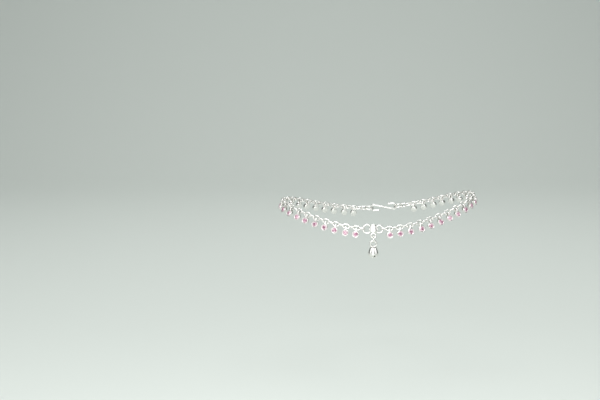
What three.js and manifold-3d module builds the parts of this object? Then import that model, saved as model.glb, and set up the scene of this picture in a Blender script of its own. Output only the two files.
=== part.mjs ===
// Payal anklet in silver: a closed loop of oval links with a round pink stone on every second link. At the
// middle of the near side two plain rings are held by a domed bail, and a small pear-shaped bell hangs
// from it. A plain S-hook closes the loop on the far side.
// Lengths are in millimetres. +X is towards the back end of the loop, -Y is the side with the bell and +Z
// is up. The origin is the middle of the loop, at the height where it is held.

import * as THREE from 'three';
import { mergeVertices } from 'three/addons/utils/BufferGeometryUtils.js';
import Module from 'manifold-3d';

const wasm = await Module();
wasm.setup();

// Play between two pieces that are linked but not soldered, and where a ring runs in a link or the hook.
const PLAY = 0.22;
const RING_PLAY = 0.34;

// The loop as it is worn. It is an oval in plan, lowest at its two long sides and highest at its ends.
const LOOP_HALF_LENGTH = 52.5;
const LOOP_HALF_WIDTH = 28.9;
const LOOP_SIDE_LEVEL = -10.3;
const LOOP_END_RISE = 12;
const LOOP_TILT = 1.8;
const MOTIF_X = -4;

// How far the pieces lean out at their lower edge, at the front end, the sides and the back end.
const LEAN_FRONT = 20;
const LEAN_SIDE = 10;
const LEAN_BACK = 16;

// Chain of oval wire links: stone links lie flat, and the links that join them stand on edge.
const LINK_LENGTH = 4.18;
const LINK_WIDTH = 2.75;
const LINK_WIRE = 0.68;
const LINK_SEAT = 0.01;
const STONE_LINK_TURN = -10;
const JOINING_LINK_TURN = 72;
const STONES_PER_SIDE = 20;
const PLAIN_LINKS_AT_CLASP = 2;

// Stone drop: a round bezel cup with a faceted stone, hung by an eye on a link's lower wire.
const BEZEL_DIAMETER = 3.7;
const BEZEL_DEPTH = 2;
const BEZEL_RIM = 0.5;
const BEZEL_BELOW_WIRE = 0.2;
const STONE_RISE = 0.3;
const STONE_TABLE_DIAMETER = 1.5;
const DROP_EYE_STRIP = 0.38;
const DROP_EYE_WIDTH = 1.0;
const DROP_EYE_PLAY = 0.27;
const DROP_EYE_ROOT = 0.25;
const DROP_SQUARE_SHARE = 0.65;
const DROP_SWAY = 4;

// Plain round rings, all of one wire.
const RING_WIRE = 0.8;
const FRONT_RING_DIAMETER = 5.3;
const BACK_RING_DIAMETER = 4.8;
const END_RING_DIAMETER = 5.3;
const END_RING_TURN = 88;
const END_RING_PULL = 0.25;

// Bail: a domed front, a sleeve behind it round both motif rings and an eye ring under it.
const SLEEVE_LENGTH = 3.54;
const SLEEVE_HEIGHT = 0.9;
const SLEEVE_WALL = 0.42;
const SLEEVE_PLAY = 0.3;
const SLEEVE_DEPTH_PLAY = 0.33;
const FRONT_ABOVE = 2.6;
const FRONT_BELOW = 2.2;
const FRONT_TOP_WIDTH = 3.7;
const FRONT_BOTTOM_WIDTH = 4.9;
const FRONT_THICKNESS = 1.1;
const FRONT_DOME = 0.45;
const EYE_DIAMETER = 3.5;
const EYE_WIRE = 0.95;
const EYE_SEAT = 0.55;

// Connector ring between the bail and the bell.
const CONNECTOR_DIAMETER = 4.4;
const CONNECTOR_WIRE = 0.75;

// Bell: a hollow pear with a slit across its bottom and a ring soldered on top.
const BELL_HEIGHT = 6.2;
const BELL_DIAMETER = 5.5;
const BELL_NECK_DIAMETER = 3.4;
const BELL_WALL = 0.4;
const BELL_SLIT_WIDTH = 0.7;
const BELL_SLIT_HEIGHT = 1.7;
const BELL_SLIT_TURN = 15;
const BELL_RING_DIAMETER = 4.3;
const BELL_RING_WIRE = 1;
const BELL_RING_SEAT = 0.75;

// S-hook of the clasp, measured between the wire centres of its two bends.
const HOOK_REACH = 14.8;
const HOOK_WIRE = 0.95;
const HOOK_BEND_RADIUS = 1.75;
const HOOK_TIP_LENGTH = 3.2;

// Sides of the faceted rounds.
const SECTION_SIDES = 5;
const LINK_SECTIONS = [30, 62, 90, 118, 150];
const RING_SIDES = 12;
const DROP_SIDES = 8;
const BELL_SIDES = 10;
const HOOK_STEPS = 30;

const SILVER = 0xdadbdc;
const PINK = 0xd9899f;

const radians = THREE.MathUtils.degToRad;

// A pentagon with the area of the round wire's section reaches this much further than the round one.
const SECTION_GROWTH = Math.sqrt(Math.PI / ((SECTION_SIDES / 2) * Math.sin((2 * Math.PI) / SECTION_SIDES)));

function solidFrom(geometry) {
  const bare = geometry.clone();
  bare.deleteAttribute('normal');
  bare.deleteAttribute('uv');
  const merged = mergeVertices(bare, 1e-5);
  return new wasm.Manifold(
    new wasm.Mesh({
      numProp: 3,
      vertProperties: Float32Array.from(merged.attributes.position.array),
      triVerts: Uint32Array.from(merged.index.array),
    }),
  );
}

function geometryFrom(solid) {
  const mesh = solid.getMesh();
  const geometry = new THREE.BufferGeometry();
  geometry.setAttribute('position', new THREE.BufferAttribute(mesh.vertProperties, 3));
  geometry.setIndex(new THREE.BufferAttribute(mesh.triVerts, 1));
  geometry.computeVertexNormals();
  return geometry;
}

function meshOf(name, geometry, color, metalness, roughness) {
  const material = new THREE.MeshStandardMaterial({ color, metalness, roughness, flatShading: true });
  const mesh = new THREE.Mesh(geometry, material);
  mesh.name = name;
  return mesh;
}

function silverMesh(name, geometry) {
  return meshOf(name, geometry, SILVER, 1, 0.18);
}

// The loop's centre line. It starts at the motif and runs along the near side towards the back end.
class LoopCurve extends THREE.Curve {
  constructor(scale) {
    super();
    this.halfLength = LOOP_HALF_LENGTH * scale;
    this.halfWidth = LOOP_HALF_WIDTH * scale;
    this.start = -Math.acos(MOTIF_X / this.halfLength);
    this.arcLengthDivisions = 1440;
  }

  getPoint(t, target = new THREE.Vector3()) {
    const angle = this.start + 2 * Math.PI * t;
    const towardsEnd = Math.cos(angle);
    const rise = LOOP_END_RISE * (1 - Math.cos((Math.PI / 2) * towardsEnd));
    return target.set(
      this.halfLength * towardsEnd,
      this.halfWidth * Math.sin(angle),
      LOOP_SIDE_LEVEL + rise + LOOP_TILT * towardsEnd,
    );
  }
}

// Distances from the centre of a link or ring to the centre of its end wire, and between neighbours.
const linkReach = (LINK_LENGTH - LINK_WIRE) / 2;
const linkPitch = LINK_LENGTH - 2 * LINK_WIRE + LINK_SEAT;
const ringReach = (diameter) => (diameter - RING_WIRE) / 2;
const linkRingContact = (LINK_WIRE + RING_WIRE) / 2 + RING_PLAY;
const linkToRing = (diameter) => linkReach + ringReach(diameter) - linkRingContact;
const hookToRing = ringReach(END_RING_DIAMETER) - (HOOK_WIRE + RING_WIRE) / 2 - RING_PLAY;

// Stations along the loop on one side of the motif, measured from the bail's middle.
function sideStations(ringDiameter) {
  const ring = SLEEVE_LENGTH / 2 - RING_WIRE / 2 - SLEEVE_PLAY + ringReach(ringDiameter);
  const first = ring + linkToRing(ringDiameter);
  const linkCount = 2 * STONES_PER_SIDE + PLAIN_LINKS_AT_CLASP;
  const links = Array.from({ length: linkCount }, (_, i) => first + i * linkPitch);
  const endRing = links[linkCount - 1] + linkToRing(END_RING_DIAMETER);
  return { ring, links, endRing };
}

const frontSide = sideStations(FRONT_RING_DIAMETER);
const backSide = sideStations(BACK_RING_DIAMETER);
const loopLength = frontSide.endRing + backSide.endRing + HOOK_REACH + 2 * hookToRing;

// The oval is sized until its own length is that of the chain, rings and hook.
function closedLoop(length) {
  let low = 0.4;
  let high = 2.5;
  for (let i = 0; i < 40; i++) {
    const middle = (low + high) / 2;
    if (new LoopCurve(middle).getLength() < length) low = middle;
    else high = middle;
  }
  return new LoopCurve(low);
}

const loop = closedLoop(loopLength);

// A place on the loop: its point, the direction along the chain, the level direction outwards, the lean,
// and the leaning up and out directions.
function stationAt(distance) {
  const share = (((distance / loop.getLength()) % 1) + 1) % 1;
  const point = loop.getPointAt(share);
  const along = loop.getTangentAt(share);
  const level = new THREE.Vector3(along.y, -along.x, 0).normalize();
  const endLean = level.x < 0 ? LEAN_FRONT : LEAN_BACK;
  const lean = radians(LEAN_SIDE + (endLean - LEAN_SIDE) * level.x * level.x);
  const up = new THREE.Vector3().crossVectors(level, along).applyAxisAngle(along, -lean);
  const out = new THREE.Vector3().crossVectors(along, up);
  return { point, along, level, lean, up, out };
}

// The placing of a piece whose own X is up, Y is out and Z is along the chain, turned about the chain.
function placing(point, up, out, along, turn = 0) {
  const turned = new THREE.Matrix4().makeRotationZ(radians(turn));
  return new THREE.Matrix4().makeBasis(up, out, along).setPosition(point).multiply(turned);
}

function put(mesh, matrix) {
  matrix.decompose(mesh.position, mesh.quaternion, mesh.scale);
  return mesh;
}

// A ring of wire round its own Y, with a corner or a flat of the wire's section facing the hole.
function wireRing(diameter, wire, sides, inner = 'flat') {
  const reach = (diameter - wire) / 2;
  const radius = (wire / 2) * SECTION_GROWTH;
  const start = inner === 'flat' ? 0 : Math.PI;
  const profile = [];
  for (let i = 0; i <= SECTION_SIDES; i++) {
    const angle = start + (i / SECTION_SIDES) * 2 * Math.PI;
    profile.push(new THREE.Vector2(reach + radius * Math.cos(angle), radius * Math.sin(angle)));
  }
  return new THREE.LatheGeometry(profile, sides);
}

// An oval link, long in Z: a ring of wire with its sections set out on the oval, without being stretched.
// LINK_SECTIONS holds their directions from the long axis on one side, with the widest flats at the ends.
function linkSolid(inner) {
  const sides = 2 * LINK_SECTIONS.length;
  const halfSide = Math.PI / sides;
  const geometry = wireRing(LINK_WIDTH, LINK_WIRE, sides, inner).rotateY(halfSide);
  const position = geometry.attributes.position;
  const widthReach = (LINK_WIDTH - LINK_WIRE) / 2;
  const lengthReach = linkReach / Math.cos(radians(LINK_SECTIONS[0]));
  for (let i = 0; i < position.count; i++) {
    const azimuth = Math.atan2(position.getX(i), position.getZ(i));
    const section = Math.round((Math.abs(azimuth) - halfSide) / (2 * halfSide));
    const direction = radians(LINK_SECTIONS[section]) * Math.sign(azimuth);
    const shiftX = widthReach * (Math.sin(direction) - Math.sin(azimuth));
    const shiftZ = lengthReach * Math.cos(direction) - widthReach * Math.cos(azimuth);
    position.setX(i, position.getX(i) + shiftX);
    position.setZ(i, position.getZ(i) + shiftZ);
  }
  return solidFrom(geometry);
}

const isStoneLink = (index) => index % 2 === 1;

// One half of the chain. The worn links rest in each other: a corner of each joining link's wire lies a
// little way into the flat of its neighbour's.
function chainHalf(name, side, direction) {
  const stoneLink = linkSolid('flat');
  const joiningLink = linkSolid('corner');
  const links = side.links.map((distance, index) => {
    const place = stationAt(direction * distance);
    const turn = isStoneLink(index) ? STONE_LINK_TURN : JOINING_LINK_TURN;
    const link = isStoneLink(index) ? stoneLink : joiningLink;
    return link.transform(placing(place.point, place.up, place.out, place.along, turn).elements);
  });
  return silverMesh(name, geometryFrom(wasm.Manifold.union(links)));
}

// Distance from the centre of a bezel up to the wire that its eye goes round.
const dropLength = BEZEL_DIAMETER / 2 + BEZEL_BELOW_WIRE + LINK_WIRE / 2;

// A stone in its bezel, with its face towards Y and its eye towards X.
function dropGeometry() {
  const radius = BEZEL_DIAMETER / 2;
  const front = BEZEL_DEPTH / 2;
  const profile = [
    new THREE.Vector2(0, -front),
    new THREE.Vector2(radius, -front),
    new THREE.Vector2(radius, front),
    new THREE.Vector2(radius - BEZEL_RIM, front),
    new THREE.Vector2(STONE_TABLE_DIAMETER / 2, front + STONE_RISE),
    new THREE.Vector2(0, front + STONE_RISE),
  ];
  const cup = solidFrom(new THREE.LatheGeometry(profile, DROP_SIDES).rotateY(Math.PI / DROP_SIDES));
  return geometryFrom(cup.add(dropEye(radius)));
}

// The eye is a bent strip: an arch over the wire with both legs let into the cup's edge. Its inside and
// its outside are halves of an octagon, drawn here as X up and Y out.
function dropEye(cupRadius) {
  const innerHalf = LINK_WIRE / 2 + DROP_EYE_PLAY;
  const foot = cupRadius - DROP_EYE_ROOT - dropLength;
  const arch = (half, steps) =>
    steps.map((step) => {
      const angle = (step * Math.PI) / 8;
      const corner = half / Math.cos(Math.PI / 8);
      return new THREE.Vector2(corner * Math.cos(angle), corner * Math.sin(angle));
    });
  const outerHalf = innerHalf + DROP_EYE_STRIP;
  const outline = new THREE.Shape([
    new THREE.Vector2(foot, -outerHalf),
    ...arch(outerHalf, [-3, -1, 1, 3]),
    new THREE.Vector2(foot, outerHalf),
    new THREE.Vector2(foot, innerHalf),
    ...arch(innerHalf, [3, 1, -1, -3]),
    new THREE.Vector2(foot, -innerHalf),
  ]);
  const strip = new THREE.ExtrudeGeometry(outline, { depth: DROP_EYE_WIDTH, bevelEnabled: false });
  return solidFrom(strip.translate(dropLength, 0, -DROP_EYE_WIDTH / 2));
}

// The drops hang partly plumb and partly square to the chain, and each sways a little.
function drops(name, side, direction) {
  const geometry = dropGeometry();
  const stoneLinks = side.links.filter((_, index) => isStoneLink(index)).slice(0, STONES_PER_SIDE);
  return stoneLinks.map((distance, index) => {
    const place = stationAt(direction * distance);
    const link = placing(place.point, place.up, place.out, place.along, STONE_LINK_TURN);
    const lowerWire = new THREE.Vector3(-(LINK_WIDTH - LINK_WIRE) / 2, 0, 0).applyMatrix4(link);
    const plumb = new THREE.Vector3(0, 0, Math.cos(place.lean));
    plumb.addScaledVector(place.level, -Math.sin(place.lean));
    const up = plumb.lerp(place.up, DROP_SQUARE_SHARE).normalize();
    up.applyAxisAngle(place.out, radians(DROP_SWAY) * Math.sin(2.4 * index + direction));
    const along = new THREE.Vector3().crossVectors(up, place.out).normalize();
    const out = new THREE.Vector3().crossVectors(along, up);
    const centre = lowerWire.addScaledVector(up, -dropLength);
    const mesh = meshOf(`${name}_${String(index + 1).padStart(2, '0')}`, geometry, PINK, 0.1, 0.15);
    return put(mesh, placing(centre, up, out, along));
  });
}

function ring(name, diameter, place, turn = 0) {
  const mesh = silverMesh(name, geometryFrom(solidFrom(wireRing(diameter, RING_WIRE, RING_SIDES))));
  return put(mesh, placing(place.point, place.up, place.out, place.along, turn));
}

// The two end rings and the hook between them pull straight, so each ring turns a little from the chain's
// direction to the hook's.
const backEnd = stationAt(backSide.endRing);
const frontEnd = stationAt(-frontSide.endRing);
const hookSpan = new THREE.Vector3().subVectors(frontEnd.point, backEnd.point);
const hookAlong = hookSpan.clone().normalize();

function drawnStraight(place) {
  const along = place.along.clone().lerp(hookAlong, END_RING_PULL).normalize();
  const up = place.up.clone().addScaledVector(along, -place.up.dot(along)).normalize();
  const out = new THREE.Vector3().crossVectors(along, up);
  return { point: place.point, along, up, out };
}

// The motif hangs level: its own frame is X, and the side's lean.
const motifPoint = stationAt(0).point;
const sideLean = radians(LEAN_SIDE);
const motifUp = new THREE.Vector3(0, Math.sin(sideLean), Math.cos(sideLean));
const motifOut = new THREE.Vector3(0, -Math.cos(sideLean), Math.sin(sideLean));

const sleeveHalfDepth = RING_WIRE / 2 + SLEEVE_DEPTH_PLAY;
const frontMiddle = sleeveHalfDepth + FRONT_THICKNESS / 2;
const eyeReach = (EYE_DIAMETER - EYE_WIRE) / 2;
const eyeCentreDrop = FRONT_BELOW + EYE_DIAMETER / 2 - EYE_SEAT;

function box(length, height, depth, out) {
  return solidFrom(new THREE.BoxGeometry(length, height, depth).translate(0, 0, out));
}

// Bail in its own frame: X along the chain, Y up and Z out.
function bail() {
  const top = FRONT_TOP_WIDTH / 2;
  const bottom = FRONT_BOTTOM_WIDTH / 2;
  const outline = new THREE.Shape();
  outline.moveTo(-bottom * 0.6, -FRONT_BELOW);
  outline.lineTo(bottom * 0.6, -FRONT_BELOW);
  outline.quadraticCurveTo(bottom, -FRONT_BELOW, bottom, -FRONT_BELOW * 0.45);
  outline.lineTo(top, FRONT_ABOVE * 0.6);
  outline.quadraticCurveTo(top * 0.95, FRONT_ABOVE * 0.9, top * 0.4, FRONT_ABOVE);
  outline.lineTo(-top * 0.4, FRONT_ABOVE);
  outline.quadraticCurveTo(-top * 0.95, FRONT_ABOVE * 0.9, -top, FRONT_ABOVE * 0.6);
  outline.lineTo(-bottom, -FRONT_BELOW * 0.45);
  outline.quadraticCurveTo(-bottom, -FRONT_BELOW, -bottom * 0.6, -FRONT_BELOW);
  const front = new THREE.ExtrudeGeometry(outline, {
    depth: FRONT_THICKNESS - 2 * FRONT_DOME,
    bevelThickness: FRONT_DOME,
    bevelSize: FRONT_DOME,
    bevelOffset: -FRONT_DOME,
    bevelSegments: 2,
    curveSegments: 2,
  }).translate(0, 0, sleeveHalfDepth + FRONT_DOME);

  // The sleeve's side walls pass through the motif rings, and its back joins them behind.
  const sleeveLength = SLEEVE_LENGTH + 2 * SLEEVE_WALL;
  const sleeveDepth = frontMiddle + sleeveHalfDepth + SLEEVE_WALL;
  const outer = box(sleeveLength, SLEEVE_HEIGHT, sleeveDepth, frontMiddle - sleeveDepth / 2);
  const inner = box(SLEEVE_LENGTH, 2 * SLEEVE_HEIGHT, 2 * sleeveHalfDepth, 0);

  const eye = wireRing(EYE_DIAMETER, EYE_WIRE, RING_SIDES).rotateX(Math.PI / 2);
  eye.translate(0, -eyeCentreDrop, frontMiddle);
  const solid = solidFrom(front).add(outer).subtract(inner).add(solidFrom(eye));
  const mesh = silverMesh('bail', geometryFrom(solid));
  const frame = new THREE.Matrix4().makeBasis(new THREE.Vector3(1, 0, 0), motifUp, motifOut);
  return put(mesh, frame.setPosition(motifPoint));
}

// Centre of the bail's eye wire, where the connector swings.
const eyePin = motifPoint
  .clone()
  .addScaledVector(motifOut, frontMiddle)
  .addScaledVector(motifUp, -(eyeCentreDrop + eyeReach));

const connectorReach = (CONNECTOR_DIAMETER - CONNECTOR_WIRE) / 2;
const connectorDrop = connectorReach - (EYE_WIRE + CONNECTOR_WIRE) / 2 - PLAY;

// The connector hangs plumb and edge on.
function connector() {
  const geometry = wireRing(CONNECTOR_DIAMETER, CONNECTOR_WIRE, RING_SIDES).rotateZ(Math.PI / 2);
  const mesh = silverMesh('connector', geometryFrom(solidFrom(geometry)));
  mesh.position.copy(eyePin).add(new THREE.Vector3(0, 0, -connectorDrop));
  return mesh;
}

// Centre of the connector's lower wire, where the bell swings.
const bellPin = eyePin.clone().add(new THREE.Vector3(0, 0, -connectorDrop - connectorReach));

// Bell, with its swing point at its own origin. The profile's heights are shares of the bell's height from
// the bottom, and its radii go from the neck's to the widest.
function bell() {
  const ringReachOfBell = (BELL_RING_DIAMETER - BELL_RING_WIRE) / 2;
  const ringCentre = (CONNECTOR_WIRE + BELL_RING_WIRE) / 2 + PLAY - ringReachOfBell;
  const top = ringCentre - BELL_RING_DIAMETER / 2 + BELL_RING_SEAT;
  const neck = BELL_NECK_DIAMETER / 2;
  const wide = BELL_DIAMETER / 2;
  const shares = [
    [0, 0],
    [0.62, 0.04],
    [0.9, 0.16],
    [1, 0.33],
  ];
  const outer = shares.map(([r, h]) => new THREE.Vector2(wide * r, top - BELL_HEIGHT * (1 - h)));
  outer.push(new THREE.Vector2(neck + (wide - neck) * 0.86, top - BELL_HEIGHT * 0.48));
  outer.push(new THREE.Vector2(neck + (wide - neck) * 0.3, top - BELL_HEIGHT * 0.18));
  outer.push(new THREE.Vector2(neck * 0.7, top));
  outer.push(new THREE.Vector2(0, top));
  const inner = [
    new THREE.Vector2(0, top - BELL_HEIGHT + BELL_WALL),
    new THREE.Vector2(wide * 0.6, top - BELL_HEIGHT * 0.94 + BELL_WALL),
    new THREE.Vector2(wide - BELL_WALL, top - BELL_HEIGHT * 0.66),
    new THREE.Vector2(neck - BELL_WALL, top - BELL_HEIGHT * 0.2),
    new THREE.Vector2(0, top - BELL_HEIGHT * 0.2),
  ];
  const lathe = (profile) => solidFrom(new THREE.LatheGeometry(profile, BELL_SIDES).rotateX(Math.PI / 2));
  const slit = solidFrom(
    new THREE.BoxGeometry(BELL_SLIT_WIDTH, 2 * BELL_DIAMETER, BELL_SLIT_HEIGHT * 2)
      .rotateZ(radians(BELL_SLIT_TURN))
      .translate(0, 0, top - BELL_HEIGHT),
  );
  const ringOnTop = solidFrom(
    wireRing(BELL_RING_DIAMETER, BELL_RING_WIRE, RING_SIDES).translate(0, 0, ringCentre),
  );
  const solid = lathe(outer).add(ringOnTop).subtract(lathe(inner)).subtract(slit);
  const mesh = silverMesh('ghungroo', geometryFrom(solid));
  mesh.position.copy(bellPin);
  return mesh;
}

// S-hook from one end ring to the other, drawn from one tip round both bends to the other tip.
class HookCurve extends THREE.Curve {
  constructor(reach) {
    super();
    this.bend = reach / 2 - HOOK_BEND_RADIUS;
    this.arcLengthDivisions = 400;
    const round = Math.PI * HOOK_BEND_RADIUS;
    const shank = 2 * Math.hypot(this.bend, HOOK_BEND_RADIUS);
    this.lengths = [HOOK_TIP_LENGTH, round, shank, round, HOOK_TIP_LENGTH];
    this.total = this.lengths.reduce((sum, length) => sum + length, 0);
  }

  // Half of the hook from its middle to one tip; the other half is the same, turned half way round.
  halfPoint(distance) {
    const [, round, shank] = this.lengths;
    if (distance < shank / 2) {
      const share = distance / (shank / 2);
      return [this.bend * share, HOOK_BEND_RADIUS * share];
    }
    if (distance < shank / 2 + round) {
      const angle = (distance - shank / 2) / HOOK_BEND_RADIUS;
      return [this.bend + HOOK_BEND_RADIUS * Math.sin(angle), HOOK_BEND_RADIUS * Math.cos(angle)];
    }
    return [this.bend - (distance - shank / 2 - round), -HOOK_BEND_RADIUS];
  }

  getPoint(t, target = new THREE.Vector3()) {
    const distance = (t - 0.5) * this.total;
    const [along, up] = this.halfPoint(Math.abs(distance));
    return target.set(up * Math.sign(distance), 0, along * Math.sign(distance));
  }
}

function hook() {
  const section = new THREE.Shape();
  const radius = (HOOK_WIRE / 2) * SECTION_GROWTH;
  for (let i = 0; i < SECTION_SIDES; i++) {
    const angle = (i / SECTION_SIDES) * 2 * Math.PI;
    if (i === 0) section.moveTo(radius, 0);
    else section.lineTo(radius * Math.cos(angle), radius * Math.sin(angle));
  }
  const wire = new THREE.ExtrudeGeometry(section, {
    steps: HOOK_STEPS,
    extrudePath: new HookCurve(hookSpan.length() - 2 * hookToRing),
    bevelEnabled: false,
  });
  const mesh = silverMesh('hook', geometryFrom(solidFrom(wire)));
  const up = backEnd.up.clone().add(frontEnd.up);
  up.addScaledVector(hookAlong, -up.dot(hookAlong)).normalize();
  const out = new THREE.Vector3().crossVectors(hookAlong, up);
  const middle = backEnd.point.clone().addScaledVector(hookSpan, 0.5);
  return put(mesh, placing(middle, up, out, hookAlong));
}

const anklet = new THREE.Group();
anklet.name = 'payal_anklet';
anklet.add(chainHalf('chain_front', frontSide, -1));
anklet.add(chainHalf('chain_back', backSide, 1));
anklet.add(...drops('drop_front', frontSide, -1));
anklet.add(...drops('drop_back', backSide, 1));
anklet.add(ring('motif_ring_front', FRONT_RING_DIAMETER, stationAt(-frontSide.ring)));
anklet.add(ring('motif_ring_back', BACK_RING_DIAMETER, stationAt(backSide.ring)));
anklet.add(bail());
anklet.add(connector());
anklet.add(bell());
anklet.add(ring('end_ring_front', END_RING_DIAMETER, drawnStraight(frontEnd), END_RING_TURN));
anklet.add(ring('end_ring_back', END_RING_DIAMETER, drawnStraight(backEnd), END_RING_TURN));
anklet.add(hook());

export default anklet;
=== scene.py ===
import math

import bmesh
import bpy
import numpy as np
from mathutils import Matrix, Vector


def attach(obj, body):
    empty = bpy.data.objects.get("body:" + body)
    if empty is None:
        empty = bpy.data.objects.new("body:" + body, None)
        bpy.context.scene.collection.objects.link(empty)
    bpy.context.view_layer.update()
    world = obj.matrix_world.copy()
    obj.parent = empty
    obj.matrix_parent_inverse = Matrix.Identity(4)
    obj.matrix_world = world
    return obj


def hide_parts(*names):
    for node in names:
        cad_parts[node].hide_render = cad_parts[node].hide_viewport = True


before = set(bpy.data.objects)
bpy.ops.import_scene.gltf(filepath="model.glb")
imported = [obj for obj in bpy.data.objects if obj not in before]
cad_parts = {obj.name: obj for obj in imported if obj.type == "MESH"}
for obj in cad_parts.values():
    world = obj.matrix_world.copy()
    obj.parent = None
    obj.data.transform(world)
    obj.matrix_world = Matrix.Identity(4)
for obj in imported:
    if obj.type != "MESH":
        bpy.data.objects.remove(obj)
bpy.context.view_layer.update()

# Payal anklet in silver with pink stones. Lengths are given in millimetres and meshes are made in metres,
# in the frame of the solids: +X to the back end of the loop, -Y to the side with the bell, +Z up.
MM = 0.001

# Chain

# Two halves of chain in drawn silver wire. Every link is bent to an oval, closed on its neighbours and
# soldered, then the chain is tumbled bright. Stone links lie flat; the links that join them stand on edge.
LOOP_HALF_LENGTH = 52.5
LOOP_HALF_WIDTH = 28.9
LOOP_SIDE_LEVEL = -10.3
LOOP_END_RISE = 12.0
LOOP_TILT = 1.8
MOTIF_X = -4.0
LEAN_FRONT, LEAN_SIDE, LEAN_BACK = 20.0, 10.0, 16.0
LINK_LENGTH, LINK_WIDTH, LINK_WIRE = 4.18, 2.75, 0.68
LINK_SEAT = 0.01
STONE_LINK_TURN, JOINING_LINK_TURN = -10.0, 72.0
STONES_PER_SIDE, PLAIN_LINKS_AT_CLASP = 20, 2
RING_WIRE, RING_PLAY = 0.8, 0.34
RING_DIAMETER = {"motif_ring_front": 5.3, "motif_ring_back": 4.8, "end_ring": 5.3}
SLEEVE_LENGTH, SLEEVE_PLAY = 3.54, 0.3
HOOK_REACH, HOOK_WIRE = 14.8, 0.95


def loop_point(half_length, half_width, share):
    """A point of the worn loop: an oval in plan that rises towards its two ends."""
    angle = 2 * math.pi * np.asarray(share) - math.acos(MOTIF_X / half_length)
    towards_end = np.cos(angle)
    rise = LOOP_END_RISE * (1 - np.cos(math.pi / 2 * towards_end))
    height = LOOP_SIDE_LEVEL + rise + LOOP_TILT * towards_end
    return np.stack([half_length * towards_end, half_width * np.sin(angle), height], axis=-1)


def arc_lengths(scale):
    """Shares of the whole turn, and how far along the loop each of them lies."""
    steps = np.linspace(0, 1, 1441)
    points = loop_point(LOOP_HALF_LENGTH * scale, LOOP_HALF_WIDTH * scale, steps)
    pieces = np.linalg.norm(np.diff(points, axis=0), axis=1)
    return steps, np.concatenate([[0.0], np.cumsum(pieces)])


link_pitch = LINK_LENGTH - 2 * LINK_WIRE + LINK_SEAT


def ring_reach(diameter):
    """From a ring's middle to the middle of its wire."""
    return (diameter - RING_WIRE) / 2


def link_to_ring(diameter):
    """From the middle of a link to the middle of the ring that it hangs in."""
    contact = (LINK_WIRE + RING_WIRE) / 2 + RING_PLAY
    return (LINK_LENGTH - LINK_WIRE) / 2 + ring_reach(diameter) - contact


def side_stations(motif_ring):
    """Distances from the bail's middle to the motif ring, to each link and to the end ring."""
    ring_at = SLEEVE_LENGTH / 2 - RING_WIRE / 2 - SLEEVE_PLAY + ring_reach(motif_ring)
    first = ring_at + link_to_ring(motif_ring)
    links = [first + i * link_pitch for i in range(2 * STONES_PER_SIDE + PLAIN_LINKS_AT_CLASP)]
    return ring_at, links, links[-1] + link_to_ring(RING_DIAMETER["end_ring"])


SIDES = {
    "front": (-1, *side_stations(RING_DIAMETER["motif_ring_front"])),
    "back": (1, *side_stations(RING_DIAMETER["motif_ring_back"])),
}
hook_to_ring = ring_reach(RING_DIAMETER["end_ring"]) - (HOOK_WIRE + RING_WIRE) / 2 - RING_PLAY
loop_length = SIDES["front"][3] + SIDES["back"][3] + HOOK_REACH + 2 * hook_to_ring
scale_low, scale_high = 0.4, 2.5
for _ in range(40):
    scale_middle = (scale_low + scale_high) / 2
    if arc_lengths(scale_middle)[1][-1] < loop_length:
        scale_low = scale_middle
    else:
        scale_high = scale_middle
curve_shares, arc_at_share = arc_lengths(scale_low)


def station(distance):
    """Point, direction along the chain, level outward direction, lean, leaning up and out directions."""
    wanted = (distance / arc_at_share[-1]) % 1.0 * arc_at_share[-1]
    share = float(np.interp(wanted, arc_at_share, curve_shares))
    near = [share - 1e-4, share, share + 1e-4]
    before, here, after = loop_point(LOOP_HALF_LENGTH * scale_low, LOOP_HALF_WIDTH * scale_low, near)
    point = Vector(here)
    along = Vector(after - before).normalized()
    level = Vector((along.y, -along.x, 0)).normalized()
    end_lean = LEAN_FRONT if level.x < 0 else LEAN_BACK
    lean = math.radians(LEAN_SIDE + (end_lean - LEAN_SIDE) * level.x**2)
    up = Matrix.Rotation(-lean, 3, along) @ level.cross(along)
    return point, along, level, lean, up, along.cross(up)


def linear(code):
    """An sRGB hex colour as linear RGBA."""
    channels = [int(code[i : i + 2], 16) / 255 for i in (1, 3, 5)]
    return (*[c / 12.92 if c <= 0.04045 else ((c + 0.055) / 1.055) ** 2.4 for c in channels], 1.0)


def add(tree, kind, values=None, links=None, **settings):
    """Adds a node with its settings, the values of its sockets and the outputs that feed them."""
    made = tree.nodes.new(kind)
    for name, value in settings.items():
        setattr(made, name, value)
    for socket, value in (values or {}).items():
        made.inputs[socket].default_value = value
    for socket, output in (links or {}).items():
        tree.links.new(output, made.inputs[socket])
    return made


def material_named(name):
    """A new material and its empty node tree."""
    material = bpy.data.materials.new(name)
    material.use_nodes = True
    material.node_tree.nodes.clear()
    return material, material.node_tree


# Sterling silver, tumbled bright: near-white metal with a sharp gloss, broken by fine rubbed patches about
# a millimetre wide and a faint unevenness left by filing.
silver, tree = material_named("tumbled_silver")
where = add(tree, "ShaderNodeTexCoord").outputs["Object"]
patches = add(tree, "ShaderNodeTexNoise", {"Scale": 1 / (1.1 * MM), "Detail": 3.0}, {"Vector": where})
gloss = add(
    tree,
    "ShaderNodeMapRange",
    {"From Min": 0.3, "From Max": 0.75, "To Min": 0.16, "To Max": 0.32},
    {"Value": patches.outputs["Fac"]},
)
filing = add(tree, "ShaderNodeTexNoise", {"Scale": 1 / (0.4 * MM), "Detail": 2.0}, {"Vector": where})
uneven = add(
    tree,
    "ShaderNodeBump",
    {"Strength": 0.25, "Distance": 0.03 * MM},
    {"Height": filing.outputs["Fac"]},
)
metal = add(
    tree,
    "ShaderNodeBsdfPrincipled",
    {"Base Color": linear("#F1EFEC"), "Metallic": 1.0},
    {"Roughness": gloss.outputs["Result"], "Normal": uneven.outputs["Normal"]},
)
add(tree, "ShaderNodeOutputMaterial", links={"Surface": metal.outputs["BSDF"]})


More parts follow.
